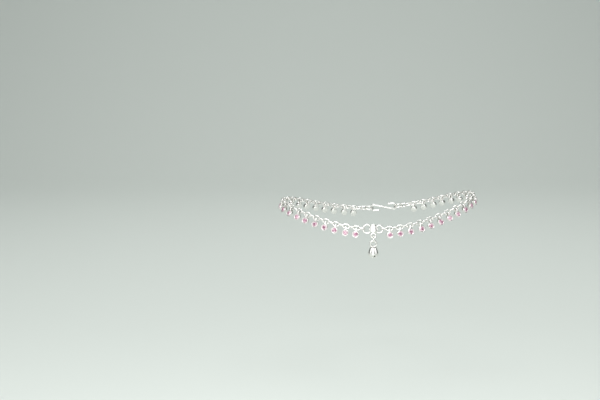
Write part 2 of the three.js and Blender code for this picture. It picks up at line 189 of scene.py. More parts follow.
def socketed_tree(name, inputs):
    """An empty node tree for a modifier, with these named inputs, and its group input node."""
    made = bpy.data.node_groups.new(name, "GeometryNodeTree")
    made.interface.new_socket("Geometry", in_out="INPUT", socket_type="NodeSocketGeometry")
    for label, kind in inputs.items():
        made.interface.new_socket(label, in_out="INPUT", socket_type=kind)
    made.interface.new_socket("Geometry", in_out="OUTPUT", socket_type="NodeSocketGeometry")
    return made, add(made, "NodeGroupInput").outputs


# Places one link on each point: a stadium of wire, long along the chain, turned to the point's directions.
links_tree, given = socketed_tree(
    "links_on_points",
    {
        "Link Length": "NodeSocketFloat",
        "Link Width": "NodeSocketFloat",
        "Wire": "NodeSocketFloat",
        "Metal": "NodeSocketMaterial",
    },
)
bend_width = add(
    links_tree,
    "ShaderNodeMath",
    links={0: given["Link Width"], 1: given["Wire"]},
    operation="SUBTRACT",
)
bend_radius = add(links_tree, "ShaderNodeMath", {1: 0.5}, {0: bend_width.outputs[0]}, operation="MULTIPLY")
straight_length = add(
    links_tree,
    "ShaderNodeMath",
    links={0: given["Link Length"], 1: given["Link Width"]},
    operation="SUBTRACT",
)
half_straight = add(
    links_tree,
    "ShaderNodeMath",
    {1: 0.5},
    {0: straight_length.outputs[0]},
    operation="MULTIPLY",
)
bend = add(
    links_tree,
    "GeometryNodeCurvePrimitiveCircle",
    {"Resolution": 36},
    {"Radius": bend_radius.outputs[0]},
)
height = add(
    links_tree,
    "ShaderNodeSeparateXYZ",
    links={"Vector": add(links_tree, "GeometryNodeInputPosition").outputs["Position"]},
)
side_of = add(links_tree, "ShaderNodeMath", links={0: height.outputs["Y"]}, operation="SIGN")
drawn_out = add(
    links_tree,
    "ShaderNodeMath",
    links={0: side_of.outputs[0], 1: half_straight.outputs[0]},
    operation="MULTIPLY",
)
pull = add(links_tree, "ShaderNodeCombineXYZ", links={"Y": drawn_out.outputs[0]})
stadium = add(
    links_tree,
    "GeometryNodeSetPosition",
    links={"Geometry": bend.outputs["Curve"], "Offset": pull.outputs["Vector"]},
)
upright = add(
    links_tree,
    "GeometryNodeTransform",
    {"Rotation": (math.pi / 2, 0, 0)},
    {"Geometry": stadium.outputs["Geometry"]},
)
wire_radius = add(links_tree, "ShaderNodeMath", {1: 0.5}, {0: given["Wire"]}, operation="MULTIPLY")
section = add(
    links_tree,
    "GeometryNodeCurvePrimitiveCircle",
    {"Resolution": 12},
    {"Radius": wire_radius.outputs[0]},
)
wire = add(
    links_tree,
    "GeometryNodeCurveToMesh",
    links={"Curve": upright.outputs["Geometry"], "Profile Curve": section.outputs["Curve"]},
)
along_at = add(links_tree, "GeometryNodeInputNamedAttribute", {"Name": "along"}, data_type="FLOAT_VECTOR")
up_at = add(links_tree, "GeometryNodeInputNamedAttribute", {"Name": "up"}, data_type="FLOAT_VECTOR")
turned = add(
    links_tree,
    "FunctionNodeAxesToRotation",
    links={"Primary Axis": along_at.outputs["Attribute"], "Secondary Axis": up_at.outputs["Attribute"]},
    primary_axis="Z",
    secondary_axis="X",
)
placed = add(
    links_tree,
    "GeometryNodeInstanceOnPoints",
    links={
        "Points": given["Geometry"],
        "Instance": wire.outputs["Mesh"],
        "Rotation": turned.outputs["Rotation"],
    },
)
real = add(links_tree, "GeometryNodeRealizeInstances", links={"Geometry": placed.outputs["Instances"]})
smooth = add(links_tree, "GeometryNodeSetShadeSmooth", links={"Geometry": real.outputs["Geometry"]})
in_silver = add(
    links_tree,
    "GeometryNodeSetMaterial",
    links={"Geometry": smooth.outputs["Geometry"], "Material": given["Metal"]},
)
add(links_tree, "NodeGroupOutput", links={"Geometry": in_silver.outputs["Geometry"]})


def pieces_on_points(name, node_tree, points, directions, inputs):
    """One plain mesh of what the tree puts on these points (mm), with a named direction at each point."""
    mesh = bpy.data.meshes.new(name)
    mesh.from_pydata([tuple(point * MM) for point in points], [], [])
    for label, vectors in directions.items():
        stored = mesh.attributes.new(label, "FLOAT_VECTOR", "POINT")
        stored.data.foreach_set("vector", [c for vector in vectors for c in vector])
    source = bpy.data.objects.new(name + "_points", mesh)
    bpy.context.collection.objects.link(source)
    modifier = source.modifiers.new(name, "NODES")
    modifier.node_group = node_tree
    for item in node_tree.interface.items_tree:
        if item.in_out == "INPUT" and item.name in inputs:
            modifier[item.identifier] = inputs[item.name]
    evaluated = source.evaluated_get(bpy.context.evaluated_depsgraph_get())
    result = bpy.data.meshes.new_from_object(evaluated)
    source.modifiers.clear()
    bpy.data.objects.remove(source)
    result.name = name
    made = bpy.data.objects.new(name, result)
    bpy.context.collection.objects.link(made)
    return made


for side, (direction, _, link_distances, _) in SIDES.items():
    points, alongs, ups = [], [], []
    for index, distance in enumerate(link_distances):
        point, along, _, _, up, out = station(direction * distance)
        turn = math.radians(STONE_LINK_TURN if index % 2 else JOINING_LINK_TURN)
        points.append(point)
        alongs.append(along)
        ups.append(up * math.cos(turn) + out * math.sin(turn))
    chain = pieces_on_points(
        f"chain_{side}_links",
        links_tree,
        points,
        {"along": alongs, "up": ups},
        {
            "Link Length": LINK_LENGTH * MM,
            "Link Width": LINK_WIDTH * MM,
            "Wire": LINK_WIRE * MM,
            "Metal": silver,
        },
    )
    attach(chain, "loop")
    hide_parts(f"chain_{side}")

# Stone drops

# A round pink glass stone, cut with a table and crown facets over a foil, sits in a pressed silver cup with
# its rim rolled over it. A flat silver strip, bent to an eye and soldered to the cup's edge, hangs it on the
# lower wire of its link.
BEZEL_DIAMETER, BEZEL_DEPTH, BEZEL_RIM = 3.7, 2.0, 0.5
BEZEL_BELOW_WIRE = 0.2
STONE_RISE, STONE_TABLE_DIAMETER, STONE_STAR_DIAMETER = 0.3, 1.5, 2.12
STONE_STAR_DEPTH, STONE_EDGE_DEPTH, STONE_UNDER_RIM = 0.14, 0.14, 0.02
# The last value scales down the table facets' colour tone: painted shade where one looks into the stone.
STONE_SIDES, STONE_TABLE_MIDDLE, STONE_TABLE_PAINTED_SHADE = 8, (0.12, 0.05), 0.35
DROP_EYE_STRIP, DROP_EYE_WIDTH, DROP_EYE_PLAY, DROP_EYE_ROOT = 0.38, 1.0, 0.27, 0.25
DROP_SQUARE_SHARE, DROP_SWAY = 0.65, 4.0
drop_length = BEZEL_DIAMETER / 2 + BEZEL_BELOW_WIRE + LINK_WIRE / 2


def lathe(profile, sides):
    """Points (radius, height) turned round Z, as vertices and faces. Ends on the axis are closed."""
    vertices, rows = [], []
    for radius, at in profile:
        if radius < 1e-6:
            rows.append([len(vertices)] * sides)
            vertices.append(Vector((0, 0, at)))
            continue
        rows.append([len(vertices) + i for i in range(sides)])
        for i in range(sides):
            angle = 2 * math.pi * i / sides
            vertices.append(Vector((radius * math.cos(angle), radius * math.sin(angle), at)))
    faces = []
    for low, high in zip(rows, rows[1:]):
        for i in range(sides):
            j = (i + 1) % sides
            corners = [low[i], low[j], high[j], high[i]]
            corner_set = list(dict.fromkeys(corners))
            if len(corner_set) > 2:
                faces.append(corner_set)
    return vertices, faces


def wire_along(path, thickness, closed=False, sides=16):
    """Round wire along a path, as vertices and faces, with rounded tips where it is open."""
    path = [Vector(p) for p in path]
    count = len(path)
    if closed:
        tangents = [(path[(i + 1) % count] - path[i - 1]).normalized() for i in range(count)]
        radii = [thickness / 2] * count
    else:
        tips = []
        for end, inward in ((path[0], path[1]), (path[-1], path[-2])):
            outward = (end - inward).normalized()
            tips.append([end + outward * (thickness / 2 * math.sin(a)) for a in (0.5, 1.0, 1.4)])
        path = [*tips[0][::-1], *path, *tips[1]]
        cap = [thickness / 2 * math.cos(a) for a in (1.4, 1.0, 0.5)]
        radii = cap + [thickness / 2] * count + cap[::-1]
        count = len(path)
        neighbours = [(max(i - 1, 0), min(i + 1, count - 1)) for i in range(count)]
        tangents = [(path[j] - path[i]).normalized() for i, j in neighbours]
    across = tangents[0].orthogonal().normalized()
    vertices, rows = [], []
    for point, tangent, radius in zip(path, tangents, radii):
        across = (across - tangent * across.dot(tangent)).normalized()
        other = tangent.cross(across)
        rows.append([len(vertices) + i for i in range(sides)])
        for i in range(sides):
            angle = 2 * math.pi * i / sides
            vertices.append(point + (across * math.cos(angle) + other * math.sin(angle)) * radius)
    faces = []
    pairs = list(zip(rows, rows[1:])) + ([(rows[-1], rows[0])] if closed else [])
    for low, high in pairs:
        faces += [[low[i], low[(i + 1) % sides], high[(i + 1) % sides], high[i]] for i in range(sides)]
    if not closed:
        faces += [rows[0][::-1], rows[-1]]
    return vertices, faces


def mesh_of(name, shapes, place=Matrix.Identity(4), sharp=None):
    """A mesh in metres of (vertices, faces) shapes in millimetres, set in place, with normals outwards."""
    made = bmesh.new()
    for vertices, faces in shapes:
        added = [made.verts.new(place @ Vector(v) * MM) for v in vertices]
        new_faces = [made.faces.new([added[i] for i in face]) for face in faces]
        bmesh.ops.recalc_face_normals(made, faces=new_faces)
    for face in made.faces:
        face.smooth = True
    mesh = bpy.data.meshes.new(name)
    made.to_mesh(mesh)
    made.free()
    if sharp:
        mesh.set_sharp_from_angle(angle=math.radians(sharp))
    return mesh


cup_radius = BEZEL_DIAMETER / 2
rim_inside = cup_radius - BEZEL_RIM
cup_back, cup_front = -BEZEL_DEPTH / 2, BEZEL_DEPTH / 2
cup_profile = [
    (0, cup_back),
    (cup_radius - 0.47, cup_back),
    (cup_radius - 0.25, cup_back + 0.08),
    (cup_radius - 0.11, cup_back + 0.3),
    (cup_radius - 0.03, 0.1),
    (cup_radius, cup_front - 0.3),
    (cup_radius - 0.04, cup_front - 0.1),
    (cup_radius - 0.15, cup_front),
    (cup_radius - 0.3, cup_front + 0.02),
    (cup_radius - 0.43, cup_front - 0.03),
    (rim_inside, cup_front - 0.12),
    (rim_inside, cup_front - 0.3),
    (0, cup_front - 0.3),
]



def facet_ring(radius, at, count, turn=0.0):
    """Corners of one round of facets."""
    return [
        Vector((radius * math.cos(a), radius * math.sin(a), at))
        for a in (2 * math.pi * (i + turn) / count for i in range(count))
    ]


# The cut: a table of eight sides, then star, kite and girdle facets, each flat. The table is drawn as eight
# pieces that meet a little off its middle.
stone_top, stone_edge = cup_front + STONE_RISE, cup_front - STONE_EDGE_DEPTH
stone_points = [Vector((*STONE_TABLE_MIDDLE, stone_top))]
stone_points += facet_ring(STONE_TABLE_DIAMETER / 2, stone_top, STONE_SIDES)
stone_points += facet_ring(STONE_STAR_DIAMETER / 2, stone_top - STONE_STAR_DEPTH, STONE_SIDES, 0.5)
stone_points += facet_ring(rim_inside + STONE_UNDER_RIM, stone_edge, 2 * STONE_SIDES)
stone_facets, table_pieces = [], set()
for k in range(STONE_SIDES):
    table, table_next = 1 + k, 1 + (k + 1) % STONE_SIDES
    star = 1 + STONE_SIDES + k
    star_before = 1 + STONE_SIDES + (k - 1) % STONE_SIDES
    edge = [1 + 2 * STONE_SIDES + (2 * k + i) % (2 * STONE_SIDES) for i in range(3)]
    table_pieces.add(len(stone_facets))
    stone_facets.append([0, table, table_next])
    stone_facets.append([table, star, table_next])
    stone_facets.append([table, star_before, edge[0], star])
    stone_facets.append([star, edge[0], edge[1]])
    stone_facets.append([star, edge[1], edge[2]])

eye_half = LINK_WIRE / 2 + DROP_EYE_PLAY + DROP_EYE_STRIP / 2
eye_foot = cup_radius - DROP_EYE_ROOT
eye_path = [(eye_foot, 0, eye_half), ((eye_foot + drop_length) / 2, 0, eye_half)]
eye_path += [
    (drop_length + eye_half * math.sin(a), 0, eye_half * math.cos(a)) for a in np.linspace(0, math.pi, 13)
]
eye_path += [((eye_foot + drop_length) / 2, 0, -eye_half), (eye_foot, 0, -eye_half)]


def strip_along(path, widths, thickness, sides=12):
    """Flat strip with rounded edges and closed ends, bent in the XZ plane, as vertices and faces."""
    path = [Vector(point) for point in path]
    vertices, rows = [], []
    for i, (point, width) in enumerate(zip(path, widths)):
        tangent = (path[min(i + 1, len(path) - 1)] - path[max(i - 1, 0)]).normalized()
        flat_out = tangent.cross(Vector((0, 1, 0)))
        rows.append([len(vertices) + k for k in range(sides)])
        for k in range(sides):
            angle = 2 * math.pi * k / sides
            across = width / 2 * math.copysign(abs(math.cos(angle)) ** 0.5, math.cos(angle))
            through = thickness / 2 * math.copysign(abs(math.sin(angle)) ** 0.7, math.sin(angle))
            vertices.append(point + Vector((0, 1, 0)) * across + flat_out * through)
    faces = [
        [low[k], low[(k + 1) % sides], high[(k + 1) % sides], high[k]]
        for low, high in zip(rows, rows[1:])
        for k in range(sides)
    ]
    return vertices, [*faces, rows[0][::-1], rows[-1]]


# The strip spreads a little where it is let into the cup.
eye_widths = [DROP_EYE_WIDTH * (1 + 0.5 * max(0.0, 1 - (x - eye_foot) / 0.9)) for x, _, _ in eye_path]

# Built with the face towards Z, and turned so that it faces Y as the solids' drops do.
face_out = Matrix.Rotation(-math.pi / 2, 4, "X")
cup = lathe(cup_profile, 32)
eye = strip_along(eye_path, eye_widths, DROP_EYE_STRIP)
drop_mesh = mesh_of("one_drop", [cup, (stone_points, stone_facets), eye], face_out)

# Painted shade: the table pieces look straight down into the stone, so their colour is painted at its
# darkest.
facet_numbers = [polygon.index - len(cup[1]) for polygon in drop_mesh.polygons]
stone_here = [0 <= facet < len(stone_facets) for facet in facet_numbers]
facet_light = [STONE_TABLE_PAINTED_SHADE if facet in table_pieces else 1.0 for facet in facet_numbers]
drop_mesh.attributes.new("is_stone", "BOOLEAN", "FACE").data.foreach_set("value", stone_here)
drop_mesh.attributes.new("facet_light", "FLOAT", "FACE").data.foreach_set("value", facet_light)
drop_mesh.polygons.foreach_set("use_smooth", [not cut for cut in stone_here])
one_drop = bpy.data.objects.new("one_drop", drop_mesh)
bpy.context.collection.objects.link(one_drop)

# Rose-pink lead glass over foil, ground and polished: a hard clear gloss over a bright pink ground. The pink
# is the glass's own colour. Each facet is painted its own tone, from a deep plum to the palest rose, as a
# painted reflection of the stone's inside.
stone, tree = material_named("foiled_rose_glass")
painted_reflection_at = add(tree, "ShaderNodeAttribute", attribute_name="facet_depth")
ramp = add(tree, "ShaderNodeValToRGB", links={"Fac": painted_reflection_at.outputs["Fac"]})
ramp.color_ramp.elements[0].color = linear("#80395C")
ramp.color_ramp.elements[0].position = 0.0
ramp.color_ramp.elements[1].color = linear("#F8ECF0")
ramp.color_ramp.elements[1].position = 1.0
ramp.color_ramp.elements.new(0.12).color = linear("#B27391")
ramp.color_ramp.elements.new(0.3).color = linear("#DCB5C5")
glass = add(
    tree,
    "ShaderNodeBsdfPrincipled",
    {"Metallic": 0.25, "Roughness": 0.15, "IOR": 1.6, "Coat Weight": 0.8, "Coat Roughness": 0.04},
    {"Base Color": ramp.outputs["Color"]},
)
add(tree, "ShaderNodeOutputMaterial", links={"Surface": glass.outputs["BSDF"]})

# Hangs one drop under each point and paints every facet a random tone of reflection from inside the stone,
# darker on the table.
drops_tree, given = socketed_tree(
    "drops_on_links",
    {
        "Drop": "NodeSocketObject",
        "Hanging Length": "NodeSocketFloat",
        "Seed": "NodeSocketInt",
        "Metal": "NodeSocketMaterial",
        "Stone": "NodeSocketMaterial",
    },
)
up_at = add(drops_tree, "GeometryNodeInputNamedAttribute", {"Name": "up"}, data_type="FLOAT_VECTOR")
out_at = add(drops_tree, "GeometryNodeInputNamedAttribute", {"Name": "out"}, data_type="FLOAT_VECTOR")
below = add(drops_tree, "ShaderNodeMath", {1: -1.0}, {0: given["Hanging Length"]}, operation="MULTIPLY")
hang = add(
    drops_tree,
    "ShaderNodeVectorMath",
    links={"Vector": up_at.outputs["Attribute"], "Scale": below.outputs[0]},
    operation="SCALE",
)
centres = add(
    drops_tree,
    "GeometryNodeSetPosition",
    links={"Geometry": given["Geometry"], "Offset": hang.outputs["Vector"]},
)
facing = add(
    drops_tree,
    "FunctionNodeAxesToRotation",
    links={"Primary Axis": up_at.outputs["Attribute"], "Secondary Axis": out_at.outputs["Attribute"]},
    primary_axis="X",
    secondary_axis="Y",
)
drop_in = add(drops_tree, "GeometryNodeObjectInfo", links={"Object": given["Drop"]})
hung = add(
    drops_tree,
    "GeometryNodeInstanceOnPoints",
    links={
        "Points": centres.outputs["Geometry"],
        "Instance": drop_in.outputs["Geometry"],
        "Rotation": facing.outputs["Rotation"],
    },
)
real = add(drops_tree, "GeometryNodeRealizeInstances", links={"Geometry": hung.outputs["Instances"]})
# Painted reflection: a random tone for each facet, which the stone's colour ramp turns from plum to pale
# rose.
tone = add(
    drops_tree,
    "FunctionNodeRandomValue",
    links={"ID": add(drops_tree, "GeometryNodeInputIndex").outputs["Index"], "Seed": given["Seed"]},
    data_type="FLOAT",
)
# Painted shade: the table facets' tones are scaled down here.
light_at = add(drops_tree, "GeometryNodeInputNamedAttribute", {"Name": "facet_light"}, data_type="FLOAT")
shown = add(
    drops_tree,
    "ShaderNodeMath",
    links={0: tone.outputs[1], 1: light_at.outputs["Attribute"]},
    operation="MULTIPLY",
)
toned = add(
    drops_tree,
    "GeometryNodeStoreNamedAttribute",
    {"Name": "facet_depth"},
    {"Geometry": real.outputs["Geometry"], "Value": shown.outputs[0]},
    data_type="FLOAT",
    domain="FACE",
)
stone_at = add(drops_tree, "GeometryNodeInputNamedAttribute", {"Name": "is_stone"}, data_type="BOOLEAN")
in_metal = add(
    drops_tree,
    "GeometryNodeSetMaterial",
    links={"Geometry": toned.outputs["Geometry"], "Material": given["Metal"]},
)
in_both = add(
    drops_tree,
    "GeometryNodeSetMaterial",
    links={
        "Geometry": in_metal.outputs["Geometry"],
        "Selection": stone_at.outputs["Attribute"],
        "Material": given["Stone"],
    },
)
add(drops_tree, "NodeGroupOutput", links={"Geometry": in_both.outputs["Geometry"]})

for side, (direction, _, link_distances, _) in SIDES.items():
    points, ups, outs = [], [], []
    for index, distance in enumerate(link_distances[1 : 2 * STONES_PER_SIDE : 2]):
        point, _, level, lean, place_up, place_out = station(direction * distance)
        turn = math.radians(STONE_LINK_TURN)
        link_up = place_up * math.cos(turn) + place_out * math.sin(turn)
        plumb = Vector((0, 0, math.cos(lean))) - level * math.sin(lean)
        up = plumb.lerp(place_up, DROP_SQUARE_SHARE).normalized()
        sway = math.radians(DROP_SWAY) * math.sin(2.4 * index + direction)
        up = Matrix.Rotation(sway, 3, place_out) @ up
        out = up.cross(place_out).normalized().cross(up)
        points.append(point - link_up * ((LINK_WIDTH - LINK_WIRE) / 2))
        ups.append(up)
        outs.append(out)
    drops = pieces_on_points(
        f"stone_drops_{side}",
        drops_tree,
        points,
        {"up": ups, "out": outs},
        {
            "Drop": one_drop,
            "Hanging Length": drop_length * MM,
            "Seed": 7 + direction,
            "Metal": silver,
            "Stone": stone,
        },
    )
    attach(drops, "loop")
    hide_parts(*[f"drop_{side}_{i:02d}" for i in range(1, STONES_PER_SIDE + 1)])
bpy.data.objects.remove(one_drop)

# Rings

# Plain jump rings of one thicker silver wire, closed and soldered: two hold the bail at the middle of the
# near side, and one at each end of the chain takes the hook.
END_RING_TURN, END_RING_PULL = 88.0, 0.25


def ring_path(diameter, wire, count=48):
    """The centre line of a ring round its own Y axis."""
    reach = (diameter - wire) / 2
    return [
        (reach * math.cos(a), 0, reach * math.sin(a))
        for a in np.linspace(0, 2 * math.pi, count, endpoint=False)
    ]


def placing(point, up, out, along, turn=0.0):
    """Where a piece goes whose own X is up, Y is out and Z is along the chain."""
    basis = Matrix((up, out, along)).transposed().to_4x4()
    return Matrix.Translation(point) @ basis @ Matrix.Rotation(math.radians(turn), 4, "Z")


def silver_piece(name, mesh, body, *nodes):
    """A finished silver piece that stands for these solids and moves with their body."""
    made = bpy.data.objects.new(name, mesh)
    made.data.materials.clear()
    made.data.materials.append(silver)
    bpy.context.collection.objects.link(made)
    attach(made, body)
    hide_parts(*nodes)


def soldered_ring(node, diameter, place):
    """One plain ring of the chain's heavier wire."""
    shape = wire_along(ring_path(diameter, RING_WIRE), RING_WIRE, closed=True)
    silver_piece(f"{node}_wire", mesh_of(node, [shape], place), "loop", node)


for side, (direction, ring_at, _, _) in SIDES.items():
    point, along, _, _, up, out = station(direction * ring_at)
    node = f"motif_ring_{side}"
    soldered_ring(node, RING_DIAMETER[node], placing(point, up, out, along))

end_places = {side: station(SIDES[side][0] * SIDES[side][3]) for side in SIDES}
hook_span = end_places["front"][0] - end_places["back"][0]
hook_along = hook_span.normalized()
for side, (point, along, _, _, up, _) in end_places.items():
    drawn = along.lerp(hook_along, END_RING_PULL).normalized()
    drawn_up = (up - drawn * up.dot(drawn)).normalized()
    place = placing(point, drawn_up, drawn.cross(drawn_up), drawn, END_RING_TURN)
    soldered_ring(f"end_ring_{side}", RING_DIAMETER["end_ring"], place)

# Hook

# The clasp is a plain S of silver wire, bent round a former and rounded at its tips. It is hooked through
# both end rings on the far side.
HOOK_BEND_RADIUS, HOOK_TIP_LENGTH = 1.75, 3.2
hook_bend = (hook_span.length - 2 * hook_to_ring) / 2 - HOOK_BEND_RADIUS
half_hook = [(hook_bend * s, HOOK_BEND_RADIUS * s) for s in np.linspace(0.05, 0.96, 10)]
half_hook += [
    (hook_bend + HOOK_BEND_RADIUS * math.sin(a), HOOK_BEND_RADIUS * math.cos(a))
    for a in np.linspace(0, math.pi, 19)
]
half_hook += [(hook_bend - s * HOOK_TIP_LENGTH, -HOOK_BEND_RADIUS) for s in (0.3, 0.6, 0.86)]
hook_path = [(-up, 0, -along) for along, up in reversed(half_hook)]
hook_path += [(up, 0, along) for along, up in half_hook]
hook_up = end_places["back"][4] + end_places["front"][4]
hook_up = (hook_up - hook_along * hook_up.dot(hook_along)).normalized()
hook_middle = end_places["back"][0] + hook_span / 2
hook_place = placing(hook_middle, hook_up, hook_along.cross(hook_up), hook_along)
hook_mesh = mesh_of("hook", [wire_along(hook_path, HOOK_WIRE)], hook_place)
silver_piece("s_hook", hook_mesh, "loop", "hook")

# Bail

# Cast in silver in one piece with its sleeve, which holds both motif rings: a domed front, narrower at the
# top, with a small knob, a dimple and a chased line across it. The eye ring is soldered under its edge.
PLAY = 0.22
SLEEVE_HEIGHT, SLEEVE_WALL = 0.9, 0.42
SLEEVE_SIDE_PLAY = 1.5 * PLAY
FRONT_ABOVE, FRONT_BELOW = 2.6, 2.2
FRONT_TOP_WIDTH, FRONT_BOTTOM_WIDTH, FRONT_THICKNESS = 3.7, 4.9, 1.1
DIMPLE_X, DIMPLE_Y, DIMPLE_DEPTH, DIMPLE_SPREAD = -0.25, 1.25, 0.22, 0.22
LINE_Y, LINE_CURVE, LINE_DEPTH, LINE_SPREAD = -0.35, 0.04, 0.1, 0.02
KNOB_DIAMETER, KNOB_X, KNOB_BELOW_TOP = 0.84, 0.1, 0.12
EYE_DIAMETER, EYE_WIRE, EYE_SEAT = 3.5, 0.95, 0.55
sleeve_half_depth = RING_WIRE / 2 + SLEEVE_SIDE_PLAY
front_middle = sleeve_half_depth + FRONT_THICKNESS / 2
eye_centre_drop = FRONT_BELOW + EYE_DIAMETER / 2 - EYE_SEAT
motif_point = station(0)[0]
side_lean = math.radians(LEAN_SIDE)
motif_up = Vector((0, math.sin(side_lean), math.cos(side_lean)))
motif_out = Vector((0, -math.cos(side_lean), math.sin(side_lean)))
bail_place = placing(motif_point, Vector((1, 0, 0)), motif_up, motif_out)


def bail_outline(count=56):
    """The front's edge, wide and round below and narrower above, as (x, y) points."""
    points = []
    for a in np.linspace(0, 2 * math.pi, count, endpoint=False):
        reach = FRONT_ABOVE if math.sin(a) > 0 else FRONT_BELOW
        y = reach * math.copysign(abs(math.sin(a)) ** 0.72, math.sin(a))
        share = (y + FRONT_BELOW) / (FRONT_ABOVE + FRONT_BELOW)
        half = (FRONT_BOTTOM_WIDTH * (1 - share) + FRONT_TOP_WIDTH * share) / 2
        points.append((half * math.copysign(abs(math.cos(a)) ** 0.62, math.cos(a)), y))
    return points


def front_height(x, y, share):
    """How far the front stands out: a dome with a dimple above and a chased line across."""
    dome = FRONT_THICKNESS * (1 - share**3.2) ** 0.5
    dimple = DIMPLE_DEPTH * math.exp(-((x - DIMPLE_X) ** 2 + (y - DIMPLE_Y) ** 2) / DIMPLE_SPREAD)
    line = LINE_DEPTH * math.exp(-((y - LINE_Y + LINE_CURVE * x * x) ** 2) / LINE_SPREAD)
    inside = 1 - share**4
    return dome - (dimple + line) * inside


front_edge = bail_outline()
front_vertices = [Vector((0, 0, sleeve_half_depth + front_height(0, 0, 0)))]
front_rows = []
for share in np.linspace(0.08, 1.0, 16):
    front_rows.append([len(front_vertices) + i for i in range(len(front_edge))])
    for x, y in front_edge:
        at = sleeve_half_depth + 0.12 + 0.88 * front_height(x * share, y * share, min(share, 0.999))
        front_vertices.append(Vector((x * share, y * share, at)))
front_rows.append([len(front_vertices) + i for i in range(len(front_edge))])
front_vertices += [Vector((x * 0.94, y * 0.94, sleeve_half_depth)) for x, y in front_edge]
front_sides = [(i, (i + 1) % len(front_edge)) for i in range(len(front_edge))]
front_faces = [[0, front_rows[0][i], front_rows[0][j]] for i, j in front_sides]
for low, high in zip(front_rows, front_rows[1:]):
    front_faces += [[low[i], high[i], high[j], low[j]] for i, j in front_sides]
front_faces.append(front_rows[-1][::-1])


def block(low, high):
    """A box between two corners, as vertices and faces."""
    xs, ys, zs = zip(low, high)
    corners = [Vector((x, y, z)) for x in xs for y in ys for z in zs]
    return corners, [[0, 1, 3, 2], [4, 6, 7, 5], [0, 4, 5, 1], [2, 3, 7, 6], [0, 2, 6, 4], [1, 5, 7, 3]]


half_sleeve = SLEEVE_LENGTH / 2 + SLEEVE_WALL
sleeve_back = -sleeve_half_depth - SLEEVE_WALL
half_height = SLEEVE_HEIGHT / 2
sleeve_parts = [
    block((-half_sleeve, -half_height, sleeve_back), (-SLEEVE_LENGTH / 2, half_height, front_middle)),
    block((SLEEVE_LENGTH / 2, -half_height, sleeve_back), (half_sleeve, half_height, front_middle)),
    block((-half_sleeve, -half_height, sleeve_back), (half_sleeve, half_height, -sleeve_half_depth)),
]
eye_line = [(x, y - eye_centre_drop, front_middle) for x, _, y in ring_path(EYE_DIAMETER, EYE_WIRE)]
eye_ring = wire_along(eye_line, EYE_WIRE, closed=True)
knob_reach = KNOB_DIAMETER / 2
knob_arc = [
    (knob_reach * math.cos(a), knob_reach * math.sin(a)) for a in np.linspace(-math.pi / 2, math.pi / 2, 9)
]
knob_points, knob_faces = lathe(knob_arc, 16)
knob_middle = Vector((KNOB_X, FRONT_ABOVE - KNOB_BELOW_TOP, front_middle))
knob = ([knob_middle + point for point in knob_points], knob_faces)
bail_shapes = [(front_vertices, front_faces), *sleeve_parts, eye_ring, knob]
bail_mesh = mesh_of("bail", bail_shapes, bail_place, sharp=40)
silver_piece("bail_casting", bail_mesh, "loop", "bail")

# Connector

# A small ring of silver wire, closed by hand and seen edge on. It swings in the bail's eye and lets the
# bell swing under it.
CONNECTOR_DIAMETER, CONNECTOR_WIRE = 4.4, 0.75
connector_reach = (CONNECTOR_DIAMETER - CONNECTOR_WIRE) / 2
eye_pin_drop = eye_centre_drop + (EYE_DIAMETER - EYE_WIRE) / 2
eye_pin = motif_point + motif_out * front_middle - motif_up * eye_pin_drop
connector_drop = connector_reach - (EYE_WIRE + CONNECTOR_WIRE) / 2 - PLAY
connector_path = [(0, x, z) for x, _, z in ring_path(CONNECTOR_DIAMETER, CONNECTOR_WIRE)]
connector_shape = wire_along(connector_path, CONNECTOR_WIRE, closed=True)
connector_place = Matrix.Translation(eye_pin - Vector((0, 0, connector_drop)))
connector_mesh = mesh_of("connector", [connector_shape], connector_place)
silver_piece("connector_wire", connector_mesh, "connector_ring", "connector")

# Ghungroo

# A hollow pear of thin silver, pressed in two cups and soldered at a low seam, with a sound slit sawn
# across the bottom. A ring of thicker wire is soldered on top.
BELL_HEIGHT, BELL_DIAMETER, BELL_WALL = 6.2, 5.5, 0.4
BELL_SLIT_WIDTH, BELL_SLIT_HEIGHT, BELL_SLIT_TURN = 0.7, 1.7, 15.0
BELL_RING_DIAMETER, BELL_RING_WIRE, BELL_RING_SEAT = 4.3, 1.0, 0.75
BELL_SEAM_SHARE, BELL_SEAM_PROUD, BELL_SEAM_WIDTH = 0.44, 0.05, 0.14
bell_pin = eye_pin - Vector((0, 0, connector_drop + connector_reach))
bell_ring_centre = (CONNECTOR_WIRE + BELL_RING_WIRE) / 2 + PLAY - (BELL_RING_DIAMETER - BELL_RING_WIRE) / 2
bell_top = bell_ring_centre - BELL_RING_DIAMETER / 2 + BELL_RING_SEAT
wide = BELL_DIAMETER / 2
form = np.array(
    [
        (0.0, 0.0),
        (0.36, 0.012),
        (0.64, 0.05),
        (0.86, 0.13),
        (0.97, 0.24),
        (1.0, 0.34),
        (0.985, 0.44),
        (0.93, 0.56),
        (0.84, 0.68),
        (0.73, 0.81),
        (0.62, 0.91),
        (0.45, 0.975),
        (0.22, 0.995),
        (0.0, 1.0),
    ]
)
steps = np.linspace(0, 1, 61)
form_steps = np.linspace(0, 1, len(form))


def rounded(values):
    """A smooth curve through these values at equal steps."""
    slopes = np.gradient(values, form_steps)
    made = []
    for s in steps:
        i = min(int(s * (len(form) - 1)), len(form) - 2)
        gap = form_steps[i + 1] - form_steps[i]
        t = (s - form_steps[i]) / gap
        made.append(
            (2 * t**3 - 3 * t**2 + 1) * values[i]
            + (t**3 - 2 * t**2 + t) * gap * slopes[i]
            + (3 * t**2 - 2 * t**3) * values[i + 1]
            + (t**3 - t**2) * gap * slopes[i + 1]
        )
    return np.array(made)


